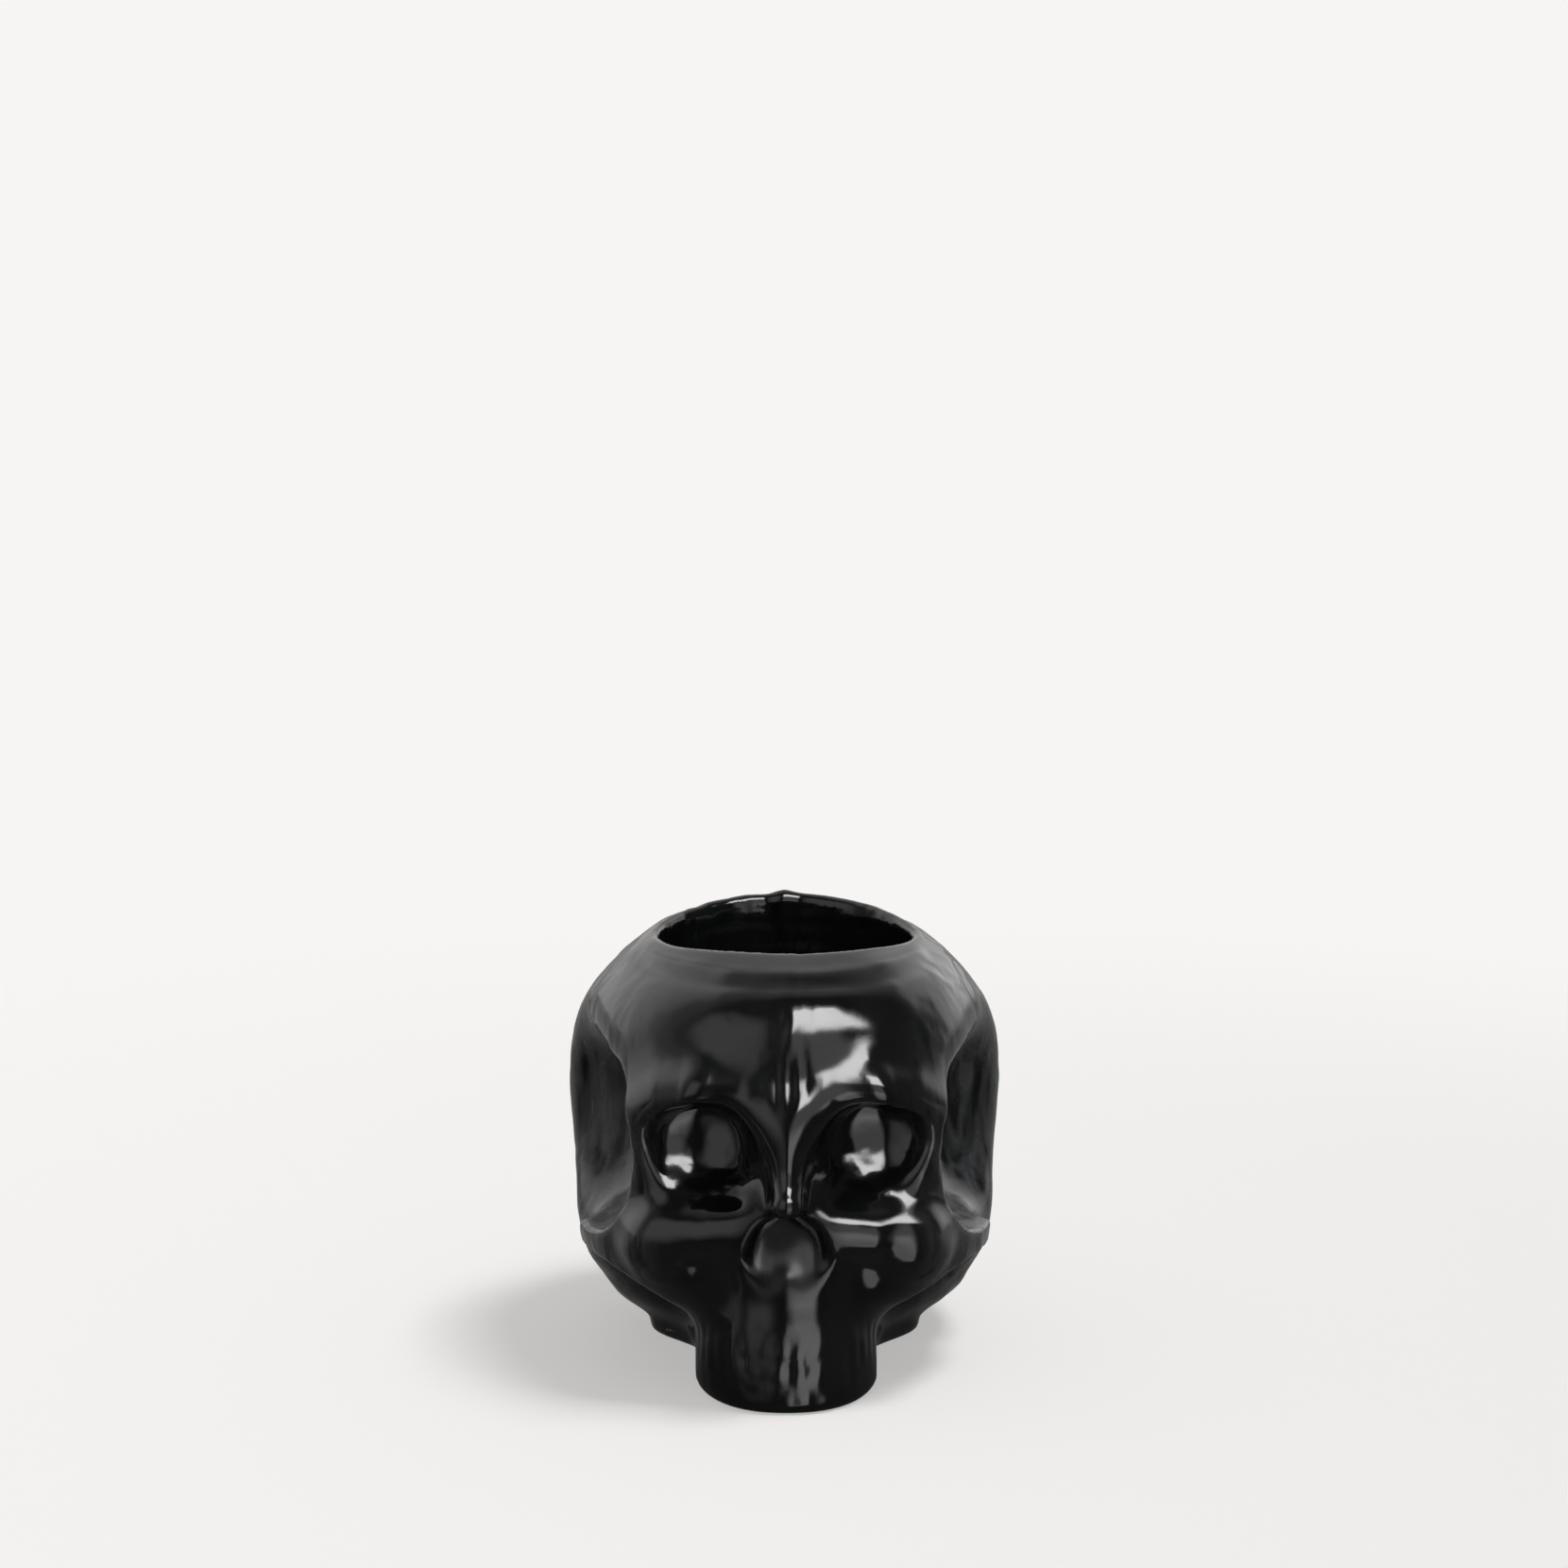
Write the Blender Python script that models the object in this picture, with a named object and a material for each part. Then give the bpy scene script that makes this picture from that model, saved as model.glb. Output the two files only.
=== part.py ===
"""Skull candle holder: one piece of solid black pressed glass, with a round candle well let into the crown.

The skull is modelled as one form, a signed distance that is negative inside the glass. It is built up the way
a mould maker cuts it: the masses of braincase, cheeks, brow and jaw run together, then the temples, the
hollows under the cheeks, sockets, nose and candle well are pressed in, and the foot is cut flat. A skin of
points is laid over the form, evened out, thinned and closed.

Lengths are in metres. The origin is on the flat foot, under the middle of the candle well. The face looks
along -Y, +X is its left cheek and +Z is up. Points given on one side only are mirrored to the other.
"""

import math

import bpy
import numpy as np

MM = 0.001


def mm(*lengths):
    """Lengths in millimetres as a vector in metres."""
    return np.array(lengths, float) * MM


# Candle well, a tapered bore with a round floor corner
MOUTH_RADIUS = 24.6 * MM
FLOOR_RADIUS = 20.5 * MM
FLOOR_HEIGHT = 27 * MM
FLOOR_CORNER = 6 * MM
LIP_ROUNDING = 3.4 * MM
MOUTH_HEIGHT = 83 * MM

# Rounded edge of the flat foot
FOOT_EDGE = 2 * MM

# Masses of the braincase: centre and half sizes
FRONTAL_CENTRE, FRONTAL_SIZE = mm(0, -12.5, 54), mm(35.5, 33, 29.8)
FRONTAL_SQUARENESS = 2.9
PARIETAL_CENTRE, PARIETAL_SIZE = mm(0, 9, 54), mm(42.9, 42, 34)
PARIETAL_SQUARENESS = 1.93
OCCIPUT_CENTRE, OCCIPUT_SIZE = mm(0, 28, 42), mm(31, 26, 25)
BASIN_CENTRE, BASIN_SIZE = mm(0, 8, 30.5), mm(40.6, 36, 31)
BASIN_SQUARENESS = 2.5
BRAINCASE_BLEND = 12 * MM

# Rear foot and the mastoid knuckles above it
PAD_CENTRE, PAD_SIZE = mm(0, 9, 0), mm(26.8, 21.5, 5)
PAD_SQUARENESS = 2.5
MASTOID_CENTRE, MASTOID_SIZE = mm(28.5, 11, 16), mm(7, 9, 11)

# Mask of the face, wrapped round from cheek to cheek, and the upper jaw below it
MASK_CENTRE, MASK_SIZE = mm(0, -8, 30), mm(39.6, 37.5, 20)
MASK_SQUARENESS = 2.4
MIDFACE_CENTRE, MIDFACE_SIZE = mm(0, -31, 33), mm(17, 18, 15)
JAW_CENTRE, JAW_SIZE = mm(0, -25, 0), mm(17.6, 25, 24)
JAW_SQUARENESS = 2.25
MALAR_CENTRE, MALAR_SIZE = mm(23.5, -36.5, 30), mm(7, 7, 6.5)

# Brow ridges, block round the sockets, their lower rim and the bridge of the nose
BROW_LINE = (mm(0, -43, 51), mm(9, -43.2, 55.2), mm(16, -41.8, 59.2), mm(22, -37.8, 58.4), mm(27.5, -32.8, 54))
BROW_THICKNESS = (7 * MM, 6.2 * MM, 4.8 * MM, 3.4 * MM, 2.4 * MM)
ORBITAL_CENTRE, ORBITAL_SIZE = mm(0, -17.5, 47), mm(31.8, 29, 16)
ORBITAL_SQUARENESS = 2.6
RIM_LINE = (mm(7, -45.3, 34.6), mm(16, -43.4, 33), mm(24, -39.3, 33.2))
RIM_THICKNESS = (2 * MM, 2.6 * MM, 2.6 * MM)
NOSE_LINE = (mm(0, -44.6, 54), mm(0, -45.6, 50), mm(0, -47.4, 45.4), mm(0, -50.4, 40.6))
NOSE_THICKNESS = (3.6 * MM, 3.3 * MM, 3.1 * MM, 3.3 * MM)

# Sockets and nose opening
SOCKET_CENTRE, SOCKET_SIZE = mm(16.3, -50, 47), mm(10.9, 30, 11.2)
SOCKET_SQUARENESS = 2.5
SOCKET_DROOP = math.radians(18)
SOCKET_EDGE = 3 * MM
DISH_FLOOR, DISH_RADIUS = mm(17, -35.2, 45.6), 32 * MM
DISH_TURN, DISH_TILT = math.radians(3.5), math.radians(31)
DISH_CORNER = 4.5 * MM
NOSTRIL_CENTRE, NOSTRIL_SIZE = mm(3.9, -50, 29.4), mm(3.7, 20, 6.4)
NOSE_HOLE_CENTRE, NOSE_HOLE_SIZE = mm(0, -50, 32.6), mm(4.6, 20, 6)
NOSE_FLOOR, NOSE_FLOOR_TILT = mm(0, -44.4, 30), math.radians(32)
NOSE_CORNER = 2.5 * MM
NOSTRIL_BLEND = 3 * MM
NOSE_EDGE = 2.2 * MM
CANINE_CENTRE, CANINE_SIZE = mm(14.5, -50.5, 23), mm(4.6, 6.4, 8)

# Temple above the cheek arch and throat below it, crisp in front and fading to the back
TEMPLE_CENTRE, TEMPLE_SIZE = mm(60.5, -16.5, 50), mm(36.5, 26, 20)
TEMPLE_SQUARENESS = 3
TEMPLE_LEAN = math.radians(11)
SCOOP_CENTRE, SCOOP_SIZE = mm(62, -8, 31), mm(25, 13, 20)
THROAT_CENTRE, THROAT_SIZE = mm(37, -22, 1), mm(20, 21, 22.5)
THROAT_SQUARENESS = 2.8
CREST_EDGE = 1.3 * MM
FADED_EDGE = 7 * MM
CREST_END, FADE_END = -16 * MM, 2 * MM
CREST_TOP, FADE_TOP = 56 * MM, 70 * MM

# Tooth roots round the front of the jaw
TOOTH_PITCH = 3.7 * MM
TOOTH_RELIEF = 0.32 * MM
TOOTH_HEIGHT = 10 * MM
TOOTH_SPREAD = 5.5 * MM
TOOTH_ARC = math.radians(95)

FACE_BLEND = 5 * MM
SOFT_BLEND = 7 * MM
MIDLINE_ROUNDING = 0.5 * MM

# Skin: the grid that it is found in, size of its cells, passes of evening out and triangles kept
GRID_LOW, GRID_HIGH = mm(-48, -62, -1), mm(48, 66, 91)
CELL = 1.1 * MM
EVENING_PASSES = 4
SLOPE_REACH = 0.05 * MM
TRIANGLES = 11600

# Points this near to the foot or to the well's floor are laid flat on it
FLAT_TOLERANCE = 0.04 * MM


def blend(a, b, width):
    """Two masses run together with a fillet about as wide as width."""
    share = np.clip(0.5 + 0.5 * (b - a) / width, 0, 1)
    return b + (a - b) * share - width * share * (1 - share)


def carve(mass, hollow, width):
    """The mass less the hollow, with the edge rounded over width."""
    return -blend(-mass, hollow, width)


def turned(q, axes, angle):
    """Points turned by an angle in the plane of two axes."""
    a, b = axes
    out = q.copy()
    out[:, a] = math.cos(angle) * q[:, a] + math.sin(angle) * q[:, b]
    out[:, b] = math.cos(angle) * q[:, b] - math.sin(angle) * q[:, a]
    return out


def ball(q, size, squareness=2.0):
    """Distance to a squared-off ellipsoid about the origin."""
    r = np.abs(q / size) + 1e-6
    near = (r**squareness).sum(1) ** (1 / squareness)
    slope = (r / near[:, None]) ** (squareness - 1) / size
    return (near - 1) / np.linalg.norm(slope, axis=1)


def dome(q, size, squareness):
    """Distance to a dome about the origin, round in plan and squared off at the top."""
    plan = np.hypot(q[:, 0] / size[0], q[:, 1] / size[1]) + 1e-6
    rise = np.abs(q[:, 2] / size[2]) + 1e-6
    near = (plan**squareness + rise**squareness) ** (1 / squareness)
    out = (plan / near) ** (squareness - 1) / plan
    up = (rise / near) ** (squareness - 1) / size[2]
    steepness = np.sqrt((out * q[:, 0] / size[0] ** 2) ** 2 + (out * q[:, 1] / size[1] ** 2) ** 2 + up**2)
    return (near - 1) / steepness


def strut(p, line, thickness):
    """Distance to a bar that follows a line of points, with a radius given at each."""
    whole = np.full(len(p), np.inf)
    for a, b, ra, rb in zip(line, line[1:], thickness, thickness[1:]):
        run = b - a
        along = np.clip((p - a) @ run / (run @ run), 0, 1)
        reach = np.linalg.norm(p - a - along[:, None] * run, axis=1) - (ra + (rb - ra) * along)
        whole = np.minimum(whole, reach)
    return whole


def fading_edge(q):
    """Width of a hollow's rounded edge: crisp at the front of the face, soft further back and higher up."""
    back = (q[:, 1] - CREST_END) / (FADE_END - CREST_END)
    high = (q[:, 2] - CREST_TOP) / (FADE_TOP - CREST_TOP)
    share = np.clip(np.maximum(back, high), 0, 1)
    return CREST_EDGE + (FADED_EDGE - CREST_EDGE) * share * share * (3 - 2 * share)


def tooth_roots(q):
    """Swelling of the jaw over each tooth root, as a length by which the skin stands out."""
    turn = np.arctan2(q[:, 0], JAW_CENTRE[1] - q[:, 1])
    along = turn * 0.5 * (JAW_SIZE[0] + JAW_SIZE[1])
    ridge = np.abs(np.cos(np.pi * (along / TOOTH_PITCH - 0.5))) - 0.55
    band = np.clip(1 - ((q[:, 2] - TOOTH_HEIGHT) / TOOTH_SPREAD) ** 2, 0, 1)
    front = np.clip(4 * (1 - np.abs(turn) / TOOTH_ARC), 0, 1)
    return TOOTH_RELIEF * 2 * ridge * band * front


def braincase(q):
    frontal = dome(q - FRONTAL_CENTRE, FRONTAL_SIZE, FRONTAL_SQUARENESS)
    form = blend(frontal, ball(q - PARIETAL_CENTRE, PARIETAL_SIZE, PARIETAL_SQUARENESS), BRAINCASE_BLEND)
    form = blend(form, ball(q - OCCIPUT_CENTRE, OCCIPUT_SIZE), BRAINCASE_BLEND)
    form = blend(form, ball(q - BASIN_CENTRE, BASIN_SIZE, BASIN_SQUARENESS), BRAINCASE_BLEND)
    form = blend(form, ball(q - MASTOID_CENTRE, MASTOID_SIZE), FACE_BLEND)
    return blend(form, ball(q - PAD_CENTRE, PAD_SIZE, PAD_SQUARENESS), FACE_BLEND)


def jaw(q):
    """Upper jaw: an arched post rounded in under the cheeks, with the tooth roots standing out of it."""
    return ball(q - JAW_CENTRE, JAW_SIZE * (1, 1, 2), JAW_SQUARENESS) - tooth_roots(q)


def face(q):
    form = blend(jaw(q), ball(q - MIDFACE_CENTRE, MIDFACE_SIZE), FACE_BLEND)
    form = blend(form, ball(q - MASK_CENTRE, MASK_SIZE, MASK_SQUARENESS), FACE_BLEND)
    form = blend(form, ball(q - MALAR_CENTRE, MALAR_SIZE), FACE_BLEND)
    form = blend(form, ball(q - ORBITAL_CENTRE, ORBITAL_SIZE, ORBITAL_SQUARENESS), FACE_BLEND)
    form = blend(form, strut(q, BROW_LINE, BROW_THICKNESS), SOFT_BLEND)
    return blend(form, strut(q, NOSE_LINE, NOSE_THICKNESS), FACE_BLEND)


def facing(turn, tilt):
    """Direction that looks out of the face, turned to the side and tilted up."""
    return np.array((math.sin(turn) * math.cos(tilt), -math.cos(turn) * math.cos(tilt), math.sin(tilt)))


def socket(q):
    """Hollow of an eye: an egg-shaped cup whose dished floor leans back under the brow."""
    cup = ball(turned(q - SOCKET_CENTRE, (2, 0), SOCKET_DROOP), SOCKET_SIZE, SOCKET_SQUARENESS)
    middle = DISH_FLOOR + DISH_RADIUS * facing(DISH_TURN, DISH_TILT)
    dish = np.linalg.norm(q - middle, axis=1) - DISH_RADIUS
    return carve(cup, -dish, DISH_CORNER)


def nose_opening(q):
    """Opening of the nose, with two lobes and a floor that runs out on the jaw."""
    lobes = blend(ball(q - NOSE_HOLE_CENTRE, NOSE_HOLE_SIZE), ball(q - NOSTRIL_CENTRE, NOSTRIL_SIZE), NOSTRIL_BLEND)
    floor = (NOSE_FLOOR - q) @ facing(0, NOSE_FLOOR_TILT)
    return carve(lobes, -floor, NOSE_CORNER)


def outer_form(p):
    """Signed distance to the outside of the skull, before the well is let in."""
    q = p.copy()
    q[:, 0] = np.hypot(p[:, 0], MIDLINE_ROUNDING)
    edge = fading_edge(q)
    form = blend(braincase(q), face(q), SOFT_BLEND)
    temple = ball(turned(q - TEMPLE_CENTRE, (0, 2), TEMPLE_LEAN), TEMPLE_SIZE, TEMPLE_SQUARENESS)
    form = carve(form, temple, edge)
    form = carve(form, ball(q - SCOOP_CENTRE, SCOOP_SIZE), edge)
    form = carve(form, ball(q - THROAT_CENTRE, THROAT_SIZE, THROAT_SQUARENESS), edge)
    form = carve(form, ball(q - CANINE_CENTRE, CANINE_SIZE), FACE_BLEND)
    form = carve(form, socket(q), SOCKET_EDGE)
    form = blend(form, strut(q, RIM_LINE, RIM_THICKNESS), FACE_BLEND)
    form = carve(form, nose_opening(q), NOSE_EDGE)
    return carve(form, q[:, 2], FOOT_EDGE)


def well_form(p):
    """Signed distance to the candle well, negative in the empty space."""
    rise = (p[:, 2] - FLOOR_HEIGHT) / (MOUTH_HEIGHT - FLOOR_HEIGHT)
    wall = np.hypot(p[:, 0], p[:, 1]) - (FLOOR_RADIUS + (MOUTH_RADIUS - FLOOR_RADIUS) * rise)
    return carve(wall, p[:, 2] - FLOOR_HEIGHT, FLOOR_CORNER)


def whole_form(p):
    return carve(outer_form(p), well_form(p), LIP_ROUNDING)


def glass_corners():
    """Which corners of a grid round the skull lie in the glass, and the grid's lowest corner."""
    low = GRID_LOW - 0.5 * CELL
    x, y, z = (start + CELL * np.arange(int(span / CELL) + 2) for start, span in zip(low, GRID_HIGH - GRID_LOW))
    plan = np.stack(np.meshgrid(x, y, indexing="ij"), -1).reshape(-1, 2)
    layers = [whole_form(np.column_stack([plan, np.full(len(plan), height)])) < 0 for height in z]
    return np.stack(layers, 1).reshape(len(x), len(y), len(z)), low


def crossed_cells(inside):
    """Numbers the cells that the skin passes through, those with corners both in and out of the glass."""
    count = sum(
        inside[i : i - 1 or None, j : j - 1 or None, k : k - 1 or None].astype(int)
        for i in (0, 1)
        for j in (0, 1)
        for k in (0, 1)
    )
    number = np.full(count.shape, -1)
    crossed = (count > 0) & (count < 8)
    number[crossed] = np.arange(crossed.sum())
    return number, np.argwhere(crossed)


def skin_faces(inside, number):
    """A four-sided face for each edge of the grid that leaves the glass, through the cells round that edge."""
    faces = []
    for axis in range(3):
        corner, cell = np.moveaxis(inside, axis, 0), np.moveaxis(number, axis, 0)
        start, end = corner[:-1, 1:-1, 1:-1], corner[1:, 1:-1, 1:-1]
        i, j, k = np.argwhere(start != end).T
        face = np.stack([cell[i, j, k], cell[i, j + 1, k], cell[i, j + 1, k + 1], cell[i, j, k + 1]], 1)
        turn = start[i, j, k] == (axis == 1)
        face[turn] = face[turn, ::-1]
        faces.append(face)
    return np.concatenate(faces)


def neighbours_mean(points, faces):
    """The middle of each point's neighbours along the faces' sides."""
    total, count = np.zeros_like(points), np.zeros(len(points))
    for side in range(4):
        a, b = faces[:, side], faces[:, (side + 1) % 4]
        count += np.bincount(a, minlength=len(points))
        for axis in range(3):
            total[:, axis] += np.bincount(a, points[b, axis], len(points))
    return total / count[:, None]


def onto_skin(points):
    """Points brought onto the form along its slope."""
    value = whole_form(points)
    ahead = [whole_form(points + SLOPE_REACH * axis) for axis in np.eye(3)]
    slope = np.stack([(there - value) / SLOPE_REACH for there in ahead], 1)
    steep = np.maximum((slope**2).sum(1), 0.2)
    step = np.clip(value / steep, -0.5 * CELL, 0.5 * CELL)
    return points - step[:, None] * slope


def skin_mesh():
    """The whole skin as points and four-sided faces."""
    inside, low = glass_corners()
    number, cells = crossed_cells(inside)
    faces = skin_faces(inside, number)
    points = low + CELL * (cells + 0.5)
    for _ in range(EVENING_PASSES):
        points = onto_skin(0.5 * (points + neighbours_mean(points, faces)))
    for _ in range(2):
        points = onto_skin(points)
    return points, faces


def thinned(skull):
    """The object's mesh with its triangles cut down to the number kept, and its two flats made exact."""
    thinning = skull.modifiers.new("thinning", "DECIMATE")
    thinning.ratio = min(1.0, TRIANGLES / (2 * len(skull.data.polygons)))
    thinning.use_collapse_triangulate = True
    settled = skull.evaluated_get(bpy.context.evaluated_depsgraph_get())
    mesh = bpy.data.meshes.new_from_object(settled)
    skull.modifiers.remove(thinning)
    for vertex in mesh.vertices:
        for flat in (0, FLOOR_HEIGHT):
            if abs(vertex.co.z - flat) < FLAT_TOLERANCE:
                vertex.co.z = flat
    return mesh


def black_glass():
    material = bpy.data.materials.new("black_glass")
    material.use_nodes = True
    surface = material.node_tree.nodes["Principled BSDF"]
    surface.inputs["Base Color"].default_value = (0.006, 0.0065, 0.007, 1)
    surface.inputs["Roughness"].default_value = 0.05
    surface.inputs["IOR"].default_value = 1.52
    return material


def build():
    for stale in list(bpy.data.objects):
        bpy.data.objects.remove(stale)
    points, faces = skin_mesh()
    mesh = bpy.data.meshes.new("skull_holder")
    mesh.from_pydata(points.tolist(), [], faces.tolist())
    skull = bpy.data.objects.new("skull_holder", mesh)
    bpy.context.scene.collection.objects.link(skull)
    skull.data = thinned(skull)
    skull.data.materials.append(black_glass())
    skull.data.shade_smooth()


build()
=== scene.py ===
"""Skull candle holder: one piece of solid black pressed glass on a pale studio floor.

The form is the one that the solid model is built from, laid out again with a finer skin and narrower edges.
The small relief of pressed glass is added on top of it: flow marks down the sides, the seam down the
forehead, dents and lumps on the face, rings in the well and the rolled rim. Lengths are in metres, the face
looks along -Y and +Z is up.
"""

import math

import bpy
import numpy as np
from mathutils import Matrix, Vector, noise


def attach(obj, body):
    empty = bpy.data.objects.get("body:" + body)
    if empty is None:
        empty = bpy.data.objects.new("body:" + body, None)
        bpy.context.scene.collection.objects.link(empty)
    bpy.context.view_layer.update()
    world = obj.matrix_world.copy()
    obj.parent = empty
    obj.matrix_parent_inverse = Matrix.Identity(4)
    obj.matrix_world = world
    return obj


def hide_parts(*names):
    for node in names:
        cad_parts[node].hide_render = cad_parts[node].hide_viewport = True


MM = 0.001


def mm(*lengths):
    """Lengths in millimetres as a vector in metres."""
    return np.array(lengths, float) * MM


# Candle well, a tapered bore with a round floor corner
MOUTH_RADIUS = 24.6 * MM
FLOOR_RADIUS = 20.5 * MM
FLOOR_HEIGHT = 27 * MM
FLOOR_CORNER = 6 * MM
LIP_ROUNDING = 2.4 * MM
MOUTH_HEIGHT = 83 * MM

# Rounded edge of the flat foot
FOOT_EDGE = 2 * MM

# Masses of the braincase: centre and half sizes
FRONTAL_CENTRE, FRONTAL_SIZE = mm(0, -12.5, 54), mm(35.5, 33, 29.8)
FRONTAL_SQUARENESS = 2.9
PARIETAL_CENTRE, PARIETAL_SIZE = mm(0, 9, 54), mm(42.9, 42, 34)
PARIETAL_SQUARENESS = 1.93
OCCIPUT_CENTRE, OCCIPUT_SIZE = mm(0, 28, 42), mm(31, 26, 25)
BASIN_CENTRE, BASIN_SIZE = mm(0, 8, 30.5), mm(40.6, 36, 31)
BASIN_SQUARENESS = 2.5
BRAINCASE_BLEND = 12 * MM

# Rear foot and the mastoid knuckles above it
PAD_CENTRE, PAD_SIZE = mm(0, 9, 0), mm(26.8, 21.5, 5)
PAD_SQUARENESS = 2.5
MASTOID_CENTRE, MASTOID_SIZE = mm(28.5, 11, 16), mm(7, 9, 11)

# Mask of the face, wrapped round from cheek to cheek, and the upper jaw below it
MASK_CENTRE, MASK_SIZE = mm(0, -8, 30), mm(39.6, 37.5, 20)
MASK_SQUARENESS = 2.4
MIDFACE_CENTRE, MIDFACE_SIZE = mm(0, -31, 33), mm(17, 18, 15)
JAW_CENTRE, JAW_SIZE = mm(0, -25, 0), mm(17.6, 25, 24)
JAW_SQUARENESS = 2.25
MALAR_CENTRE, MALAR_SIZE = mm(23.5, -36.5, 30), mm(7, 7, 6.5)

# Brow ridges, block round the sockets, their lower rim and the bridge of the nose
BROW_LINE = (
    mm(0, -43, 51),
    mm(9, -43.2, 55.2),
    mm(16, -41.8, 59.2),
    mm(22, -37.8, 58.4),
    mm(27.5, -32.8, 54),
)
BROW_THICKNESS = (7 * MM, 6.2 * MM, 4.8 * MM, 3.4 * MM, 2.4 * MM)
ORBITAL_CENTRE, ORBITAL_SIZE = mm(0, -17.5, 47), mm(31.8, 29, 16)
ORBITAL_SQUARENESS = 2.6
RIM_LINE = (mm(7, -45.3, 34.6), mm(16, -43.4, 33), mm(24, -39.3, 33.2))
RIM_THICKNESS = (2 * MM, 2.6 * MM, 2.6 * MM)
NOSE_LINE = (mm(0, -44.6, 54), mm(0, -45.6, 50), mm(0, -47.4, 45.4), mm(0, -50.4, 40.6))
NOSE_THICKNESS = (3.6 * MM, 3.3 * MM, 3.1 * MM, 3.3 * MM)

# Sockets and nose opening
SOCKET_CENTRE, SOCKET_SIZE = mm(16.3, -50, 47), mm(10.9, 30, 11.2)
SOCKET_SQUARENESS = 2.5
SOCKET_DROOP = math.radians(18)
SOCKET_EDGE = 2.6 * MM
SOCKET_FALL = 5 * MM
DISH_FLOOR, DISH_RADIUS = mm(17, -35.2, 45.6), 17 * MM
DISH_TURN, DISH_TILT = math.radians(3.5), math.radians(31)
DISH_CORNER = 4.5 * MM
NOSTRIL_CENTRE, NOSTRIL_SIZE = mm(3.9, -50, 29.4), mm(3.7, 20, 6.4)
NOSE_HOLE_CENTRE, NOSE_HOLE_SIZE = mm(0, -50, 32.6), mm(4.6, 20, 6)
NOSE_FLOOR, NOSE_FLOOR_TILT = mm(0, -44.4, 30), math.radians(32)
NOSE_CORNER = 2.5 * MM
NOSTRIL_BLEND = 3 * MM
NOSE_EDGE = 2.0 * MM
CANINE_CENTRE, CANINE_SIZE = mm(14.5, -50.5, 23), mm(4.6, 6.4, 8)

# Temple above the cheek arch and throat below it, crisp in front and fading to the back
TEMPLE_CENTRE, TEMPLE_SIZE = mm(60.5, -16.5, 50), mm(36.5, 26, 20)
TEMPLE_SQUARENESS = 3
TEMPLE_LEAN = math.radians(11)
SCOOP_CENTRE, SCOOP_SIZE = mm(62, -8, 31), mm(25, 13, 20)
THROAT_CENTRE, THROAT_SIZE = mm(37, -22, 1), mm(20, 21, 22.5)
THROAT_SQUARENESS = 2.8
CREST_EDGE = 0.7 * MM
FADED_EDGE = 7 * MM
CREST_END, FADE_END = -16 * MM, 2 * MM
CREST_TOP, FADE_TOP = 56 * MM, 70 * MM

# Tooth roots round the front of the jaw
TOOTH_PITCH = 3.7 * MM
TOOTH_RELIEF = 0.1 * MM
TOOTH_HEIGHT = 10 * MM
TOOTH_SPREAD = 5.5 * MM
TOOTH_ARC = math.radians(95)

FACE_BLEND = 5 * MM
SOFT_BLEND = 7 * MM
MIDLINE_ROUNDING = 0.5 * MM

# Skin: the grid that it is found in, size of its cells, and passes of evening out
GRID_LOW, GRID_HIGH = mm(-48, -62, -1), mm(48, 66, 91)
CELL = 0.8 * MM
EVENING_PASSES = 4
SLOPE_REACH = 0.05 * MM


def blend(a, b, width):
    """Two masses run together with a fillet about as wide as width."""
    share = np.clip(0.5 + 0.5 * (b - a) / width, 0, 1)
    return b + (a - b) * share - width * share * (1 - share)


def carve(mass, hollow, width):
    """The mass less the hollow, with the edge rounded over width."""
    return -blend(-mass, hollow, width)


def turned(q, axes, angle):
    """Points turned by an angle in the plane of two axes."""
    a, b = axes
    out = q.copy()
    out[:, a] = math.cos(angle) * q[:, a] + math.sin(angle) * q[:, b]
    out[:, b] = math.cos(angle) * q[:, b] - math.sin(angle) * q[:, a]
    return out


def ball(q, size, squareness=2.0):
    """Distance to a squared-off ellipsoid about the origin."""
    r = np.abs(q / size) + 1e-6
    near = (r**squareness).sum(1) ** (1 / squareness)
    slope = (r / near[:, None]) ** (squareness - 1) / size
    return (near - 1) / np.linalg.norm(slope, axis=1)


def dome(q, size, squareness):
    """Distance to a dome about the origin, round in plan and squared off at the top."""
    plan = np.hypot(q[:, 0] / size[0], q[:, 1] / size[1]) + 1e-6
    rise = np.abs(q[:, 2] / size[2]) + 1e-6
    near = (plan**squareness + rise**squareness) ** (1 / squareness)
    out = (plan / near) ** (squareness - 1) / plan
    up = (rise / near) ** (squareness - 1) / size[2]
    steepness = np.sqrt((out * q[:, 0] / size[0] ** 2) ** 2 + (out * q[:, 1] / size[1] ** 2) ** 2 + up**2)
    return (near - 1) / steepness


def strut(p, line, thickness):
    """Distance to a bar that follows a line of points, with a radius given at each."""
    whole = np.full(len(p), np.inf)
    for a, b, ra, rb in zip(line, line[1:], thickness, thickness[1:]):
        run = b - a
        along = np.clip((p - a) @ run / (run @ run), 0, 1)
        reach = np.linalg.norm(p - a - along[:, None] * run, axis=1) - (ra + (rb - ra) * along)
        whole = np.minimum(whole, reach)
    return whole


def fading_edge(q):
    """Width of a hollow's rounded edge: crisp at the front of the face, soft further back and higher up."""
    back = (q[:, 1] - CREST_END) / (FADE_END - CREST_END)
    high = (q[:, 2] - CREST_TOP) / (FADE_TOP - CREST_TOP)
    share = np.clip(np.maximum(back, high), 0, 1)
    return CREST_EDGE + (FADED_EDGE - CREST_EDGE) * share * share * (3 - 2 * share)


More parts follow.
